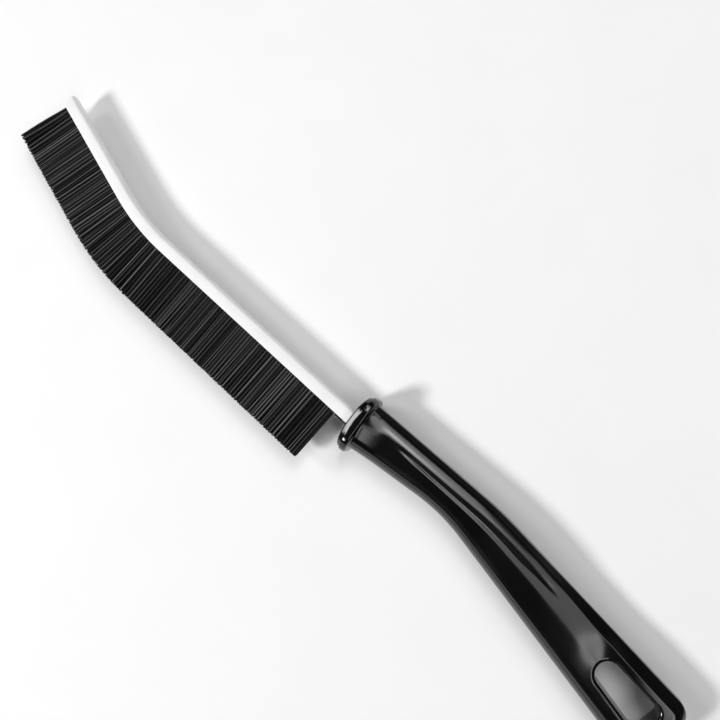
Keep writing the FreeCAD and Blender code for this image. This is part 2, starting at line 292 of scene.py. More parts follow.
NYLON_SPECULAR = 0.08
NYLON_BLACK = (0.0008, 0.0008, 0.001)
NYLON_PAINTED_GLINT = (0.23, 0.229, 0.225)
WHOLE_RANGE = (0.0, 1.0)
NYLON_SMOOTHEST = 0.3
NYLON_ROUGHEST = 0.45
FILAMENT_STREAKS = (2500, 350, 2500)
nylon, nylon_shader = new_finish("black_nylon")
nylon_shader.inputs["Specular IOR Level"].default_value = NYLON_SPECULAR
filament_glint_layer = nylon.node_tree.nodes.new("ShaderNodeAttribute")
filament_glint_layer.attribute_name = "painted_glint"
shade_to(nylon, filament_glint_layer.outputs["Fac"], nylon_shader.inputs["Base Color"],
         NYLON_BLACK, NYLON_PAINTED_GLINT, WHOLE_RANGE)
filament_streaks = noise_for(nylon, FILAMENT_STREAKS)
spread_to(nylon, filament_streaks, nylon_shader.inputs["Roughness"], NYLON_SMOOTHEST, NYLON_ROUGHEST)

filament_turns = np.linspace(0, 2 * math.pi, FILAMENT_SIDES, endpoint=False)
filament_cosines = np.cos(filament_turns)[None, :, None]
filament_sines = np.sin(filament_turns)[None, :, None]


def filament_tube(stations, offsets, heights):
    """Rings round a filament's line, given as its station, offset and height at each ring."""
    line = on_channel(stations, offsets, heights)
    along = np.gradient(line, axis=0)
    along /= np.linalg.norm(along, axis=1, keepdims=True)
    start_along = on_channel(stations + FILAMENT_RADIUS, offsets, heights) - line
    side = start_along - along * np.sum(start_along * along, axis=1, keepdims=True)
    side /= np.linalg.norm(side, axis=1, keepdims=True)
    other = np.cross(along, side)
    round_way = filament_cosines * side[:, None] + filament_sines * other[:, None]
    return line[:, None] + MM * FILAMENT_RADIUS * round_way


def make_bunch(name, tubes, painted_glints, material):
    """One mesh of many filaments, all with the same number of rings, each with its own level of painted
    glint on the base colour.
    """
    rings = tubes[0].shape[0]
    one = tube_faces(rings, FILAMENT_SIDES)
    size = rings * FILAMENT_SIDES
    faces = []
    for number in range(len(tubes)):
        faces += [tuple(i + number * size for i in face) for face in one]
    bunch = make_piece(name, np.array(tubes), faces, material, NYLON_SHARP_ANGLE)
    painted_glint = bunch.data.attributes.new("painted_glint", "FLOAT", "POINT")
    painted_glint.data.foreach_set("value", np.repeat(painted_glints, size))
    return bunch


root_tubes = []
layer_room = (MOUTH_WIDTH - WIRE_DIAMETER) / 2 / ROOT_LAYERS
bed_room = WIRE_BED / ROOT_LAYERS
bend_turns = np.linspace(0, math.pi, ROOT_BEND_STEPS + 1)
for root_station in np.arange(ROOTS_START, CHANNEL_END - FILAMENT_RADIUS, ROOT_PITCH):
    for layer in range(ROOT_LAYERS):
        layer_middle = layer + 1 / 2
        half_span = WIRE_DIAMETER / 2 + layer_room * layer_middle
        bed = WIRE_DIAMETER / 2 + bed_room * layer_middle
        bare = 0 < root_station < BARE_AT_GUARD
        leg_ends = STUB_SCATTER * draw.random(2) - FILAMENT_RADIUS + (STUB_REACH if bare else 0)
        offsets = np.concatenate([[leg_ends[0]], WIRE_OFFSET - bed * np.sin(bend_turns), [leg_ends[1]]])
        heights = np.concatenate([[half_span], half_span * np.cos(bend_turns), [-half_span]])
        sway = draw.normal(0, ROOT_SWAY, 2)
        stations = root_station + ROOT_PITCH * layer / ROOT_LAYERS + np.linspace(*sway, len(offsets))
        root_tubes.append(filament_tube(stations, offsets, heights))
# Painted highlight: a few root filaments, picked at random, get a pale base colour as glints.
root_painted_glints = draw.random(len(root_tubes)) ** ROOT_GLINT_POWER
roots = make_bunch("bristle_roots_folded", root_tubes, root_painted_glints, nylon)
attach(roots, "brush")
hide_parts("bristle_roots")

# Bristles: the free ends of the same nylon filaments, about two and a half thousand of them.
# They are cut level 16 mm from the channel, and stand in twenty bunches side by side.
BRISTLE_FREE = 16.0
BRISTLE_FLARE = 0.6
BARE_AT_TIP = 0.5
TIP_SPLAY = 1.6
SPLAY_SPAN = 4.0
SPLAY_POWER = 1.2
LAST_STRAND = 0.4
STRAND_BOW = 0.4
STRAND_GAP = 0.5
STRAND_GAP_SPAN = 1.6
MAIN_TUFTS = 11
BEND_TUFTS = 4
TIP_TUFTS = 5
COLUMN_PITCH = 0.36
ROWS_ACROSS = 8
STAGGER_ODD = 0.25
STAGGER_EVEN = 0.75
BUNCH_MARGIN = 0.18
FLEX_END = 3.6
CUT_SCATTER = 0.12
CLUMPS_PER_ROW = 140
CLUMP_PULL = 0.3
CLUMP_SHORTEST = 0.65
CLUMP_LONGEST = 1.25
DIMMEST_CLUMP_GLINT = 0.15
CREST_GLINT_FALLOFF = 2.8
LEAN_SCATTER = 0.1
RISE_SCATTER = 0.12
BOW_POWER = 1.6
OUTER_ROWS = 3
VALLEY_DEPTH = 0.35
SETTLE_END = 3.0
BRISTLE_RINGS = np.array([-0.4, 0.6, 1.2, 1.8, 2.4, 3.0, 3.6, 6.0, 9.0, 12.0, 14.5, 16.0])

runs = [
    (BARE_AT_GUARD, MAIN_LENGTH, MAIN_TUFTS),
    (MAIN_LENGTH, BEND_END, BEND_TUFTS),
    (BEND_END, CHANNEL_END - BARE_AT_TIP, TIP_TUFTS),
]
bunch_spans = []
for run_start, run_end, count in runs:
    pitch = (run_end - run_start) / count
    bunch_spans += [(run_start + i * pitch, run_start + (i + 1) * pitch) for i in range(count)]

clump_lengths = draw.uniform(CLUMP_SHORTEST, CLUMP_LONGEST, (ROWS_ACROSS, CLUMPS_PER_ROW))
clump_edges = np.cumsum(clump_lengths, axis=1)
clump_edges[:OUTER_ROWS] = clump_edges[0]
clump_edges[-OUTER_ROWS:] = clump_edges[-1]
# Each clump gets a random strength for its painted glint.
clump_glint_levels = draw.uniform(DIMMEST_CLUMP_GLINT, 1, clump_edges.shape)
clump_glint_levels[:OUTER_ROWS] = clump_glint_levels[0]
clump_glint_levels[-OUTER_ROWS:] = clump_glint_levels[-1]
half_rows = (ROWS_ACROSS - 1) / 2
row_pitch = (MOUTH_WIDTH - 2 * FILAMENT_RADIUS) / (ROWS_ACROSS - 1)
height_limit = (MOUTH_WIDTH + BRISTLE_FLARE) / 2 - FILAMENT_RADIUS


def eased(value, low, high):
    """Smooth step from 0 at low to 1 at high."""
    share = np.clip((value - low) / (high - low), 0, 1)
    return share * share * (3 - 2 * share)


for number, (start, end) in enumerate(bunch_spans, 1):
    last_bunch = number == len(bunch_spans)
    column_count = round((end - start) / COLUMN_PITCH)
    tubes = []
    painted_glints = []
    for column in range(column_count):
        for row in range(ROWS_ACROSS):
            stagger = STAGGER_ODD if row % 2 else STAGGER_EVEN
            root = start + (column + stagger) * (end - start) / column_count
            root = min(max(root, start + BUNCH_MARGIN), end - BUNCH_MARGIN)
            root_height = (row - half_rows) * row_pitch
            clump = np.searchsorted(clump_edges[row], root)
            clump_middle = (clump_edges[row, clump - 1] + clump_edges[row, clump]) / 2
            clump_half = (clump_edges[row, clump] - clump_edges[row, clump - 1]) / 2
            from_crest = abs(root - clump_middle) / clump_half
            sink = VALLEY_DEPTH * from_crest ** 2 * np.sign(row - half_rows)
            tip = root + CLUMP_PULL * (clump_middle - root) + draw.normal(0, LEAN_SCATTER)
            tip = min(max(tip, start + BUNCH_MARGIN), end - BUNCH_MARGIN)
            if last_bunch:
                tip += TIP_SPLAY * max(0, 1 - (end - root) / SPLAY_SPAN) ** SPLAY_POWER
            tip_height = root_height * (1 + BRISTLE_FLARE / MOUTH_WIDTH) + draw.normal(0, RISE_SCATTER)
            tip_height = min(max(tip_height, -height_limit), height_limit)
            offsets = BRISTLE_RINGS.copy()
            offsets[-1] -= abs(draw.normal(0, CUT_SCATTER))
            bow = (np.maximum(offsets, 0) / BRISTLE_FREE) ** BOW_POWER
            stations = root + (tip - root) * bow
            if last_bunch:
                strand = end - root < LAST_STRAND
                held_back = -STRAND_GAP * max(0, 1 - (end - root) / STRAND_GAP_SPAN)
                swell = np.sin(math.pi * np.maximum(offsets, 0) / BRISTLE_FREE)
                stations = stations + (STRAND_BOW if strand else held_back) * swell
            heights = root_height + (tip_height - root_height) * bow
            heights = heights - sink * eased(offsets, 0, SETTLE_END)
            # Painted highlight and shade: each clump's crest filament is painted pale as a glint, and the
            # filaments towards the clump's edges fade to black as painted shade in the valleys between
            # clumps.
            painted_glints.append(clump_glint_levels[row, clump] * max(0, 1 - from_crest) ** CREST_GLINT_FALLOFF)
            tubes.append(filament_tube(stations, offsets, heights))
    bunch = make_bunch(f"bristles_{number:02d}", tubes, painted_glints, nylon)
    middle = (start + end) / 2
    tuple(on_channel(middle, 0.0, 0.0))
    tuple(on_channel(middle, FLEX_END, 0.0))
    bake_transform(bunch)
    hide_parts(f"bristle_tuft_{number:02d}")

# Handle: one glossy black moulding with the domed guard on its front, a flute along each face and
# a hang slot. Its back edge is chamfered and its belly is well rounded.
# Its socket is pressed over the channel's tang.
NECK_START = 2.35
NECK_BELLY = 6.1
NECK_BACK = 7.2
BELLY_WAIST_STATION = 33.0
BELLY_WAIST = 2.45
BELLY_WAIST_RADIUS = 50.0
BACK_WAIST_STATION = 44.0
BACK_WAIST = 8.3
BACK_WAIST_RADIUS = 110.0
BUTT_STATION = 107.5
BUTT_OFFSET = 6.58
BUTT_WIDTH = 19.3
BUTT_CORNER = 4.6
OUTLINE_STEPS = 40

MIDDLE_LINE = -CHANNEL_HEIGHT / 2
neck_belly = np.array([-NECK_START, MIDDLE_LINE + NECK_BELLY])
neck_back = np.array([-NECK_START, MIDDLE_LINE - NECK_BACK])
belly_waist = np.array([-BELLY_WAIST_STATION, MIDDLE_LINE + BELLY_WAIST])
back_waist = np.array([-BACK_WAIST_STATION, MIDDLE_LINE - BACK_WAIST])
butt_middle = np.array([-BUTT_STATION, MIDDLE_LINE + BUTT_OFFSET])
grip_along = unit((belly_waist + back_waist) / 2 - butt_middle)
grip_across = np.array([-grip_along[1], grip_along[0]])
butt_belly = butt_middle + grip_across * BUTT_WIDTH / 2
butt_back = butt_middle - grip_across * BUTT_WIDTH / 2
outline = rounded_loop([
    (*neck_belly, 0),
    (*belly_waist, BELLY_WAIST_RADIUS),
    (*butt_belly, BUTT_CORNER),
    (*butt_back, BUTT_CORNER),
    (*back_waist, BACK_WAIST_RADIUS),
    (*neck_back, 0),
], OUTLINE_STEPS)[OUTLINE_STEPS:-OUTLINE_STEPS]

# The slot is round in front and widens to two rounded corners near the butt.
SLOT_LENGTH = 17.3
SLOT_TO_BACK = 0.38
SLOT_FRONT_WIDTH = 6.1
SLOT_REAR_WIDTH = 8.4
SLOT_REAR_CORNER = 2.2
BUTT_WALL = 5.6
slot_rear = butt_middle + grip_along * BUTT_WALL - grip_across * SLOT_TO_BACK
slot_front = slot_rear + grip_along * SLOT_LENGTH
slot_lean = math.atan((SLOT_REAR_WIDTH - SLOT_FRONT_WIDTH) / 2 / SLOT_LENGTH)
front_round = SLOT_FRONT_WIDTH / 2 * math.tan((math.pi / 2 + slot_lean) / 2)
slot_loop = rounded_loop([
    (*(slot_front + grip_across * SLOT_FRONT_WIDTH / 2), front_round),
    (*(slot_rear + grip_across * SLOT_REAR_WIDTH / 2), SLOT_REAR_CORNER),
    (*(slot_rear - grip_across * SLOT_REAR_WIDTH / 2), SLOT_REAR_CORNER),
    (*(slot_front - grip_across * SLOT_FRONT_WIDTH / 2), front_round),
], OUTLINE_STEPS)
NORMAL_PROBE = 0.05
LEAST_SQUARE = 1e-12


def lengths_along(line):
    steps = np.linalg.norm(np.diff(line, axis=0), axis=1)
    return np.concatenate([[0], np.cumsum(steps)])


def point_at(line, length):
    """Points on a line at lengths from its start."""
    travelled = lengths_along(line)
    return np.stack([np.interp(length, travelled, line[:, axis]) for axis in (0, 1)], axis=-1)


def left_of(line, length):
    """Unit normals to the left of a line's way, at lengths from its start."""
    length = np.asarray(length)
    ahead = point_at(line, length + NORMAL_PROBE) - point_at(line, length - NORMAL_PROBE)
    normal = np.stack([-ahead[..., 1], ahead[..., 0]], axis=-1)
    return normal / np.linalg.norm(normal, axis=-1, keepdims=True)


def distance_to(line, points):
    """Shortest distance from every point to a line's segments."""
    starts = line[:-1]
    spans = np.diff(line, axis=0)
    squares = np.maximum(np.sum(spans ** 2, axis=1), LEAST_SQUARE)
    nearest = np.full(len(points), np.inf)
    for start, span, square in zip(starts, spans, squares):
        share = np.clip((points - start) @ span / square, 0, 1)
        gap = np.linalg.norm(points - start - share[:, None] * span, axis=1)
        nearest = np.minimum(nearest, gap)
    return nearest


# The faces are a grid of columns that run from the outline in to a seam and to the slot's rim.
FINE_AT_END = np.array([0.15, 0.3, 0.45, 0.6, 0.8, 1.0, 1.3, 1.7, 2.2, 2.8])
COLUMN_STEP = 0.9
CORNER_COLUMNS = 10
BUTT_COLUMNS = 12
SIDE_COLUMNS = 36
SEARCH_STEPS = 4000
outline_length = lengths_along(outline)
arc_points = OUTLINE_STEPS + 1
belly_corner_start = outline_length[1 + arc_points]
belly_corner_end = outline_length[2 * arc_points]
back_corner_start = outline_length[1 + 2 * arc_points]
back_corner_end = outline_length[3 * arc_points]
slot_length = lengths_along(slot_loop)
slot_tip = slot_loop[0]


def nearest_length(line, point, low, high):
    tries = np.linspace(low, high, SEARCH_STEPS)
    return tries[np.argmin(np.linalg.norm(point_at(line, tries) - point, axis=1))]


NECK_TURN = math.radians(5.5)
NECK_FILLET = 0.75
NECK_SEARCH = 12.0
GUARD_DOME = 1.0
GUARD_RIM = 2.7
GUARD_REAR = GUARD_DOME + GUARD_RIM
abreast_belly = nearest_length(outline, slot_tip, 0, belly_corner_start)
abreast_back = nearest_length(outline, slot_tip, back_corner_end, outline_length[-1])
guard_along = np.array([math.cos(NECK_TURN), math.sin(NECK_TURN)])
guard_across = np.array([-guard_along[1], guard_along[0]])
guard_centre = np.array([0, MIDDLE_LINE])


def behind_guard(points):
    """How far points of the middle plane lie behind the guard's rear face."""
    return (guard_centre - points) @ guard_along - GUARD_REAR


SEAM_FROM_BACK = 5.8
SEAM_TURNS_AT = 0.7
length_tries = np.linspace(0, NECK_SEARCH, SEARCH_STEPS)
belly_behind = behind_guard(point_at(outline, length_tries))
back_behind = behind_guard(point_at(outline, outline_length[-1] - length_tries))
neck_belly_length = np.interp(NECK_FILLET, belly_behind, length_tries)
neck_back_length = outline_length[-1] - np.interp(NECK_FILLET, back_behind, length_tries)

seam_run = neck_back_length - abreast_back
coarse = np.linspace(0, seam_run - FINE_AT_END[-1], round(seam_run / COLUMN_STEP))
seam_share = np.concatenate([coarse, seam_run - FINE_AT_END[-2::-1], [seam_run]]) / seam_run
seam_back_length = neck_back_length - seam_share * seam_run
tip_from_back = np.linalg.norm(point_at(outline, abreast_back) - slot_tip)
seam_turn = eased(seam_share, SEAM_TURNS_AT, 1)
seam_from_back = SEAM_FROM_BACK + (tip_from_back - SEAM_FROM_BACK) * seam_turn
seam = point_at(outline, seam_back_length) + seam_from_back[:, None] * left_of(outline, seam_back_length)
seam[-1] = slot_tip

belly_share = lengths_along(seam) / lengths_along(seam)[-1]
belly_lengths = neck_belly_length + belly_share * (abreast_belly - neck_belly_length)


def between(start, end, count):
    return np.linspace(start, end, count + 1)[1:]


slot_bends = [arc_points, 2 * arc_points - 1, 2 * arc_points, 3 * arc_points - 1, 4 * arc_points - 1]
outer_bends = [belly_corner_start, belly_corner_end, back_corner_start, back_corner_end, abreast_back]
counts = [SIDE_COLUMNS, CORNER_COLUMNS, BUTT_COLUMNS, CORNER_COLUMNS, SIDE_COLUMNS]
outer_round = []
inner_round = []
last_outer = abreast_belly
last_inner = 0.0
for bend, outer_bend, count in zip(slot_bends, outer_bends, counts):
    outer_round.append(between(last_outer, outer_bend, count))
    inner_round.append(between(last_inner, slot_length[bend], count))
    last_outer = outer_bend
    last_inner = slot_length[bend]
outer_round = np.concatenate(outer_round)
inner_round = np.concatenate(inner_round)

column_lengths = np.concatenate([belly_lengths, outer_round, seam_back_length[-2::-1]])
outer = point_at(outline, column_lengths)
inward = left_of(outline, column_lengths)
inner = np.concatenate([seam, point_at(slot_loop, inner_round), seam[-2::-1]])
at_seam_first = len(seam) - 1
at_seam_last = at_seam_first + len(inner_round)
outward = outer - inner
outward /= np.linalg.norm(outward, axis=1, keepdims=True)
round_slot = slice(at_seam_first + 1, at_seam_last)
outward[round_slot] = -left_of(slot_loop, inner_round)[:-1]
outward[at_seam_first] = unit(grip_along + grip_across)
outward[at_seam_last] = unit(grip_along - grip_across)

EDGE_ROWS = np.array([0, 0.05, 0.12, 0.25, 0.45, 0.7, 1.0, 1.3, 1.45, 1.6, 1.75, 1.9,
                      2.05, 2.2, 2.35, 2.5, 2.65, 2.8, 2.95, 3.2, 3.5])
RIM_ROWS = np.array([1.0, 0.75, 0.5, 0.32, 0.18, 0.08, 0.02, 0])
FACE_ROWS = 16
EDGE_OVERRUN = 8.0
edge_part = outer[:, None] + EDGE_ROWS[None, :, None] * inward[:, None]
rim_part = inner[:, None] + RIM_ROWS[None, :, None] * outward[:, None]
face_share = np.linspace(0, 1, FACE_ROWS + 2)[None, 1:-1, None]
face_part = edge_part[:, -1:] * (1 - face_share) + rim_part[:, :1] * face_share
plan = np.concatenate([edge_part, face_part, rim_part], axis=1)
columns, rows = plan.shape[:2]
plan_points = plan.reshape(-1, 2)

before_neck = outline[0] + unit(outline[0] - outline[1]) * EDGE_OVERRUN
past_neck_end = outline[-1] + unit(outline[-1] - outline[-2]) * EDGE_OVERRUN
belly_edge = np.concatenate([[before_neck], outline[:1 + arc_points + 1]])
back_edge = np.concatenate([outline[3 * arc_points:], [past_neck_end]])
from_belly = distance_to(belly_edge, plan_points)
from_back = distance_to(back_edge, plan_points)
from_edge = np.minimum(distance_to(outline, plan_points), np.minimum(from_belly, from_back))
from_slot = distance_to(np.concatenate([slot_loop, slot_loop[:1]]), plan_points)
station = -plan_points[:, 0]

# The faces are slightly crowned and fall off in a wide round at the belly.
FACE_HEIGHT = 4.5
CROWN_RADIUS = 45.0
BELLY_ROUND = 3.6
EDGE_WALL = 0.4
crown = ((from_belly - from_back) / 2) ** 2 / (2 * CROWN_RADIUS)
round_gap = np.clip(BELLY_ROUND - from_edge, 0, BELLY_ROUND)
round_height = np.minimum(BELLY_ROUND, FACE_HEIGHT - crown - EDGE_WALL)
round_drop = round_height * (1 - np.sqrt(1 - (round_gap / BELLY_ROUND) ** 2))

# The back edge has a chamfer, wider towards the butt, below a soft shoulder that dies out at the slot.
CHAMFER_END = 1.45
CHAMFER_END_AT_BUTT = 2.8
CHAMFER_WIDENS = 58.0
CHAMFER_WIDE = 84.0
CHAMFER_SLOPE = 0.9
CHAMFER_SLOPE_AT_BUTT = 0.66
CHAMFER_SOFTNESS = 0.06
BACK_EDGE_ROUND = 0.2
EDGE_ROUND_SLOPE = 0.5
SHOULDER_END = 3.5
SHOULDER_END_AT_NECK = 4.6
SHOULDER_START = 3.0
SHOULDER_FULL = 7.0
SHOULDER_NARROWS = 10.0
SHOULDER_NARROW = 60.0
SHOULDER_SLOPE = 0.55
SHOULDER_FADE = 62.0
SHOULDER_GONE = 80.0
to_butt = eased(station, CHAMFER_WIDENS, CHAMFER_WIDE)
chamfer_end = CHAMFER_END + (CHAMFER_END_AT_BUTT - CHAMFER_END) * to_butt
chamfer_slope = CHAMFER_SLOPE + (CHAMFER_SLOPE_AT_BUTT - CHAMFER_SLOPE) * to_butt
shoulder_slope = SHOULDER_SLOPE * (1 - eased(station, SHOULDER_FADE, SHOULDER_GONE))
shoulder_slope = shoulder_slope * eased(station, SHOULDER_START, SHOULDER_FULL)
narrowing = eased(station, SHOULDER_NARROWS, SHOULDER_NARROW)
shoulder_end = SHOULDER_END_AT_NECK + (SHOULDER_END - SHOULDER_END_AT_NECK) * narrowing
shoulder_gap = np.clip((shoulder_end - from_edge) / (shoulder_end - chamfer_end), 0, 1)
shoulder_drop = shoulder_slope * (shoulder_end - chamfer_end) / 2 * shoulder_gap ** 2
chamfer_gap = np.minimum(chamfer_end - from_edge, chamfer_end - BACK_EDGE_ROUND)
soft_gap = np.clip(chamfer_gap + CHAMFER_SOFTNESS, 0, 2 * CHAMFER_SOFTNESS) ** 2 / (4 * CHAMFER_SOFTNESS)
chamfer_drop = chamfer_slope * np.where(chamfer_gap < CHAMFER_SOFTNESS, soft_gap, chamfer_gap)
tight_gap = np.clip(BACK_EDGE_ROUND - from_edge, 0, BACK_EDGE_ROUND)
tight_drop = BACK_EDGE_ROUND - np.sqrt(BACK_EDGE_ROUND ** 2 - tight_gap ** 2)
tight_drop = tight_drop + chamfer_slope * tight_gap * EDGE_ROUND_SLOPE
back_drop = shoulder_drop + chamfer_drop + tight_drop
column_is_back = eased(column_lengths, back_corner_start, back_corner_end)
back_share = np.repeat(column_is_back, rows)
edge_drop = round_drop * (1 - back_share) + back_drop * back_share

# The flute begins near the neck, widens along the grip and opens to a sunk facet before the slot.
FLUTE_BACK_LIP = 3.6
FLUTE_BOTTOM = 4.6
FLUTE_BELLY_LIP = 5.4
FLUTE_WIDENING = 3.3
WIDENING_START = 20.0
WIDENING_LENGTH = 62.0
WIDENING_POWER = 1.6
FLUTE_DEPTH = 0.4
FLUTE_START = 12.0
FLUTE_FULL = 22.0
FACET_DEPTH = 0.9
FACET_BOTTOM = 3.0
FACET_START = 54.0
FACET_FULL = 70.0
FACET_FADE = 77.0
FACET_END = 91.0
LIP_SOFTNESS = 0.15
FACET_LIP_SOFTNESS = 0.9
widened = np.clip((station - WIDENING_START) / WIDENING_LENGTH, 0, 1) ** WIDENING_POWER
belly_lip = FLUTE_BELLY_LIP + FLUTE_WIDENING * widened
to_facet = eased(station, FACET_START, FACET_FULL)
flute_depth = FLUTE_DEPTH + (FACET_DEPTH - FLUTE_DEPTH) * to_facet
flute_depth = flute_depth * eased(station, FLUTE_START, FLUTE_FULL)
flute_depth = flute_depth * (1 - eased(station, FACET_FADE, FACET_END))
lip_softness = LIP_SOFTNESS + (FACET_LIP_SOFTNESS - LIP_SOFTNESS) * to_facet
lip_gap = belly_lip - from_back
soft_lip = np.clip(lip_gap + lip_softness, 0, 2 * lip_softness) ** 2 / (4 * lip_softness)
lip_gap = np.where(lip_gap < lip_softness, soft_lip, lip_gap)
flute_bottom = FLUTE_BOTTOM + (FACET_BOTTOM - FLUTE_BOTTOM) * to_facet
belly_wall = np.clip(lip_gap / (belly_lip - flute_bottom), 0, 1)
back_wall = eased(from_back, FLUTE_BOTTOM, FLUTE_BACK_LIP) * (1 - to_facet)
wall_curve = belly_wall * belly_wall * (3 - 2 * belly_wall)
flute_drop = flute_depth * (wall_curve * (1 - to_facet) + belly_wall * to_facet) * (1 - back_wall)

# The slot has a rounded rim, with a shallow dish before its tip.
SLOT_RIM = 1.0
DISH_DEPTH = 1.0
DISH_LENGTH = 5.5
DISH_WIDTH = 4.6
DISH_TO_BACK = 2.4
DISH_TURN = math.radians(20)
rim_gap = np.clip(SLOT_RIM - from_slot, 0, SLOT_RIM)
rim_drop = SLOT_RIM - np.sqrt(SLOT_RIM ** 2 - rim_gap ** 2)
dish_along = grip_along * math.cos(DISH_TURN) - grip_across * math.sin(DISH_TURN)
dish_across = grip_across * math.cos(DISH_TURN) + grip_along * math.sin(DISH_TURN)
dish_middle = slot_tip - grip_across * DISH_TO_BACK
along_dish = (plan_points - dish_middle) @ dish_along / DISH_LENGTH
across_dish = (plan_points - dish_middle) @ dish_across / DISH_WIDTH
dish_drop = DISH_DEPTH * np.exp(-along_dish ** 2 - across_dish ** 2)

# The neck is a little thinner than the grip and flares up to the guard.
NECK_FLARE = 1.9
NECK_FLARE_LENGTH = 7.2
NECK_FLARE_POWER = 1.3
NECK_SINK = 0.45
SINK_FADE = 12.0
SINK_GONE = 60.0
NECK_RAMP_START = 2.6
NECK_RAMP_END = 6.8
flare = np.clip(1 - behind_guard(plan_points) / NECK_FLARE_LENGTH, 0, 1) ** NECK_FLARE_POWER
neck_rise = NECK_FLARE * flare * eased(from_back, NECK_RAMP_START, NECK_RAMP_END)
neck_rise = neck_rise - NECK_SINK * (1 - eased(station, SINK_FADE, SINK_GONE))
face = FACE_HEIGHT - crown - edge_drop - flute_drop - rim_drop - dish_drop + neck_rise
face = face.reshape(columns, rows)

# Each column is carried over the outline and mirrored for the underside.
WALL_ROWS = np.array([0.6, 0.2, -0.2, -0.6])
upper = np.concatenate([plan, face[..., None]], axis=2)[:, ::-1]
lower = np.concatenate([plan, -face[..., None]], axis=2)
wall_heights = face[:, :1] * WALL_ROWS
wall_plan = np.repeat(outer[:, None], len(WALL_ROWS), axis=1)
wall = np.concatenate([wall_plan, wall_heights[..., None]], axis=2)
grip_grid = np.concatenate([upper, wall, lower], axis=1)
profile_size = grip_grid.shape[1]
handle_points = [grip_grid.reshape(-1, 3)]
handle_faces = []
for column in range(columns - 1):
    here = column * profile_size
    there = here + profile_size
    for k in range(profile_size - 1):
        handle_faces.append((here + k, here + k + 1, there + k + 1, there + k))
    if at_seam_first <= column < at_seam_last:
        handle_faces.append((here + profile_size - 1, here, there, there + profile_size - 1))

# The guard grows from the neck's end as rings: fillet, rear face, rim, domed front and socket.
GUARD_WIDTH = 16.3
GUARD_HEIGHT = 13.0
GUARD_CORNER = 4.5
LEAST_CORNER = 0.3
GUARD_REAR_ROUND = 0.8
GUARD_FRONT_ROUND = 0.6
GUARD_SLOPE = math.radians(20.8)
GUARD_SLOPE_LENGTH = 1.1
GUARD_CREST_ROUND = 1.2
SOCKET_CLEARANCE = 0.1
HALVINGS = 40
neck_loop = np.concatenate([grip_grid[0], grip_grid[-1][-2:0:-1]])
neck_sideways = (neck_loop[:, :2] - guard_centre) @ guard_across
neck_angles = np.arctan2(neck_loop[:, 2], neck_sideways)
around = len(neck_loop)


def box_reach(angles, half_wide, half_high, corner):
    """Distance from the middle of a box with rounded corners to its outline, along each angle."""
    low = np.zeros(len(angles))
    high = np.full(len(angles), half_wide + half_high)
    for halving in range(HALVINGS):
        middle = (low + high) / 2
        beside = np.abs(middle * np.cos(angles)) - half_wide + corner
        above = np.abs(middle * np.sin(angles)) - half_high + corner
        past_corner = np.hypot(np.maximum(beside, 0), np.maximum(above, 0))
        inside = past_corner + np.minimum(np.maximum(beside, above), 0) < corner
        low = np.where(inside, middle, low)
        high = np.where(inside, high, middle)
    return low


def ring_of(sideways, height, depth, dome_share):
    """Ring of points round the guard's middle, at a depth behind its crown or its domed front."""
    dome = dome_share * GUARD_DOME * (sideways / (GUARD_WIDTH / 2)) ** 2
    back = np.reshape(depth + dome, (-1, 1)) * guard_along
    place = guard_centre + sideways[:, None] * guard_across - back
    return np.concatenate([place, height[:, None]], axis=1)


def guard_reach(inset):
    """Distance from the guard's middle to its outline, drawn in by an inset."""
    corner = max(GUARD_CORNER - inset, LEAST_CORNER)
    return box_reach(neck_angles, GUARD_WIDTH / 2 - inset, GUARD_HEIGHT / 2 - inset, corner)


def guard_ring(inset, depth, dome_share):
    """Ring of the guard, drawn in by an inset from its outline."""
    reach = guard_reach(inset)
    return ring_of(reach * np.cos(neck_angles), reach * np.sin(neck_angles), depth, dome_share)


FILLET_STEPS = 4
RIM_STEPS = 6
CREST_SHARES = (0.0, 0.34, 0.67, 1.0)
FRONT_STEPS = 4
guard_rings = []
neck_depth = -(neck_loop[:, :2] - guard_centre) @ guard_along
for turn in between(0, math.pi / 2, FILLET_STEPS):
    out = 1 + NECK_FILLET * (1 - math.cos(turn)) / np.hypot(neck_sideways, neck_loop[:, 2])
    fillet_depth = neck_depth - NECK_FILLET * math.sin(turn)
    guard_rings.append(ring_of(neck_sideways * out, neck_loop[:, 2] * out, fillet_depth, 0.0))
for turn in np.linspace(0, math.pi / 2, RIM_STEPS + 1):
    rear_inset = GUARD_REAR_ROUND * (1 - math.sin(turn))
    guard_rings.append(guard_ring(rear_inset, GUARD_REAR - GUARD_REAR_ROUND * (1 - math.cos(turn)), 0.0))
front_depth = GUARD_FRONT_ROUND * (1 - math.sin(GUARD_SLOPE))
crest_depth = front_depth + GUARD_SLOPE_LENGTH + GUARD_CREST_ROUND * math.sin(GUARD_SLOPE)
for share in CREST_SHARES:
    turn = share * GUARD_SLOPE
    crest_inset = GUARD_CREST_ROUND * (1 - math.cos(turn))
    guard_rings.append(guard_ring(crest_inset, crest_depth - GUARD_CREST_ROUND * math.sin(turn), share))
slope_inset = GUARD_CREST_ROUND * (1 - math.cos(GUARD_SLOPE))
slope_inset = slope_inset + GUARD_SLOPE_LENGTH * math.tan(GUARD_SLOPE)
for turn in np.linspace(GUARD_SLOPE, math.pi / 2, RIM_STEPS + 1):
    front_inset = slope_inset + GUARD_FRONT_ROUND * (math.cos(GUARD_SLOPE) - math.cos(turn))
    guard_rings.append(guard_ring(front_inset, GUARD_FRONT_ROUND * (1 - math.sin(turn)), 1.0))
socket_half_wide = CHANNEL_HEIGHT / 2 + SOCKET_CLEARANCE
socket_half_high = CHANNEL_WIDTH / 2 + SOCKET_CLEARANCE
socket_reach = box_reach(neck_angles, socket_half_wide, socket_half_high, SOCKET_CLEARANCE)
front_reach = guard_reach(front_inset)
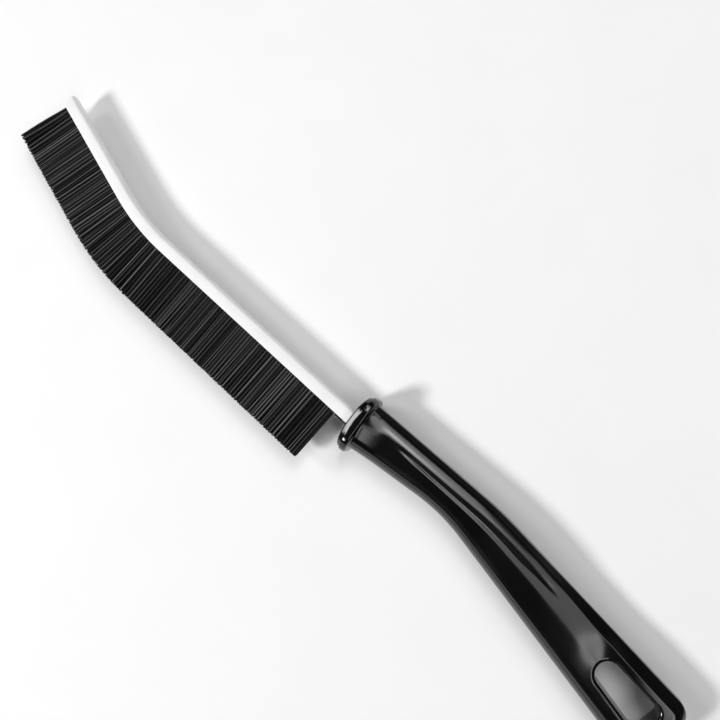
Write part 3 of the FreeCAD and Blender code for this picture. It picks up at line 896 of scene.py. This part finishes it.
for share in between(0, 1, FRONT_STEPS):
    reach = front_reach + (socket_reach - front_reach) * share
    guard_rings.append(ring_of(reach * np.cos(neck_angles), reach * np.sin(neck_angles), 0.0, 1.0))
socket_offset = MIDDLE_LINE + socket_reach * np.cos(neck_angles)
socket_height = socket_reach * np.sin(neck_angles)
guard_rings.append(np.stack([np.full(around, -TANG_LENGTH), socket_offset, socket_height], axis=1))

ring_base = columns * profile_size
last_column = (columns - 1) * profile_size
loop_indices = list(range(profile_size))
loop_indices += [last_column + k for k in range(profile_size - 2, 0, -1)]
ring_indices = [loop_indices]
for number, ring in enumerate(guard_rings):
    handle_points.append(ring)
    ring_indices.append([ring_base + number * around + i for i in range(around)])
for first, second in zip(ring_indices, ring_indices[1:]):
    for i in range(around):
        following = (i + 1) % around
        handle_faces.append((first[i], first[following], second[following], second[i]))
handle_faces.append(tuple(ring_indices[-1]))
handle_points = MOUTH_START + MM * np.concatenate(handle_points)

PLASTIC_SPECULAR = 0.75
PLASTIC_BLACK = (0.001, 0.001, 0.001)
PLASTIC_PALER = (0.002, 0.002, 0.0022)
PLASTIC_SMOOTHEST = 0.15
PLASTIC_ROUGHEST = 0.2
MOULD_WAVES = (90, 90, 90)
FINE_GRAIN = (2600, 2600, 2600)
GRAIN_DEPTH = 0.0000012
PLASTIC_SHARP_ANGLE = math.radians(40)
SAME_POINT = 0.000001
black_gloss, gloss_shader = new_finish("glossy_black_plastic")
gloss_shader.inputs["Specular IOR Level"].default_value = PLASTIC_SPECULAR
mould_waves = noise_for(black_gloss, MOULD_WAVES)
fine_grain = noise_for(black_gloss, FINE_GRAIN)
shade_to(black_gloss, fine_grain, gloss_shader.inputs["Base Color"], PLASTIC_BLACK, PLASTIC_PALER)
spread_to(black_gloss, mould_waves, gloss_shader.inputs["Roughness"], PLASTIC_SMOOTHEST, PLASTIC_ROUGHEST)
bump_to(black_gloss, fine_grain, gloss_shader, GRAIN_DEPTH)
handle = make_piece("moulded_handle", handle_points, handle_faces, black_gloss, PLASTIC_SHARP_ANGLE)
joined = bmesh.new()
joined.from_mesh(handle.data)
bmesh.ops.remove_doubles(joined, verts=joined.verts, dist=SAME_POINT)
bmesh.ops.recalc_face_normals(joined, faces=joined.faces)
joined.to_mesh(handle.data)
joined.free()
handle.data.set_sharp_from_angle(angle=PLASTIC_SHARP_ANGLE)
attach(handle, "brush")
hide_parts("handle")

# Stage: a wide pale matt floor that the brush lies on, seven soft panels of light and the camera.
# The surroundings are dark, so that the plastic shows only the panels and stays black between them.
FLOOR_HALF = 3.0
FLOOR_ROUGHNESS = 0.9
FLOOR_SPECULAR = 0.1
FLOOR_DARK = (0.9, 0.9, 0.9)
FLOOR_PALE = (0.915, 0.915, 0.915)
FLOOR_CLOUDS = (40, 40, 40)
floor_finish, floor_shader = new_finish("pale_floor")
floor_shader.inputs["Roughness"].default_value = FLOOR_ROUGHNESS
floor_shader.inputs["Specular IOR Level"].default_value = FLOOR_SPECULAR
floor_clouds = noise_for(floor_finish, FLOOR_CLOUDS)
shade_to(floor_finish, floor_clouds, floor_shader.inputs["Base Color"], FLOOR_DARK, FLOOR_PALE)
floor_corners = np.array([
    (-FLOOR_HALF, -FLOOR_HALF, 0),
    (FLOOR_HALF, -FLOOR_HALF, 0),
    (FLOOR_HALF, FLOOR_HALF, 0),
    (-FLOOR_HALF, FLOOR_HALF, 0),
])
floor = make_piece("floor", floor_corners, [(0, 1, 2, 3)], floor_finish, STEEL_SHARP_ANGLE)


def soft_panel(name, azimuth, elevation, distance, width, height, brightness):
    """Lamp that faces the brush from an azimuth, counted from +X towards +Y, and an elevation."""
    lamp = bpy.data.lights.new(name, "AREA")
    lamp.shape = "RECTANGLE"
    lamp.size = width
    lamp.size_y = height
    lamp.energy = brightness * math.pi * width * height
    panel = bpy.data.objects.new(name, lamp)
    bpy.context.collection.objects.link(panel)
    level = distance * math.cos(math.radians(elevation))
    panel.location = (
        level * math.cos(math.radians(azimuth)),
        level * math.sin(math.radians(azimuth)),
        distance * math.sin(math.radians(elevation)),
    )
    panel.rotation_euler = panel.location.to_track_quat("Z", "Y").to_euler()


soft_panel("key_panel", azimuth=62, elevation=43, distance=1.0, width=0.2, height=0.18, brightness=58.5)
soft_panel("front_panel", azimuth=14, elevation=38, distance=0.9, width=0.2, height=0.18, brightness=12.0)
soft_panel("back_panel", azimuth=-78, elevation=57, distance=0.8, width=0.36, height=0.56, brightness=2.3)
soft_panel("butt_panel", azimuth=-129, elevation=53, distance=0.84, width=0.44, height=0.5, brightness=1.1)
soft_panel("neck_panel", azimuth=-72.5, elevation=59, distance=0.79, width=0.12, height=0.2, brightness=8.0)
soft_panel("rear_panel", azimuth=180, elevation=56.5, distance=0.9, width=0.52, height=0.26, brightness=2.6)
soft_panel("belly_panel", azimuth=99, elevation=14, distance=0.9, width=0.5, height=0.28, brightness=1.0)
SURROUNDINGS = (0.03, 0.03, 0.03, 1)
world = bpy.data.worlds.new("studio")
world.use_nodes = True
world.node_tree.nodes["Background"].inputs["Color"].default_value = SURROUNDINGS
bpy.context.scene.world = world

LENS = 42.5
NEAREST_SEEN = 0.01
CAMERA_PLACE = Vector((-0.04465, -0.03174, 0.2258))
CAMERA_TARGET = Vector((-0.00168, -0.01479, 0.0085))
PICTURE_UP = Vector((0.668, -0.744, 0))
camera_data = bpy.data.cameras.new("camera")
camera_data.lens = LENS
camera_data.clip_start = NEAREST_SEEN
camera = bpy.data.objects.new("camera", camera_data)
bpy.context.collection.objects.link(camera)
forward = (CAMERA_TARGET - CAMERA_PLACE).normalized()
right = forward.cross(PICTURE_UP).normalized()
up = right.cross(forward)
turned = Matrix((right, up, -forward)).transposed()
camera.matrix_world = Matrix.Translation(CAMERA_PLACE) @ turned.to_4x4()
bpy.context.scene.camera = camera
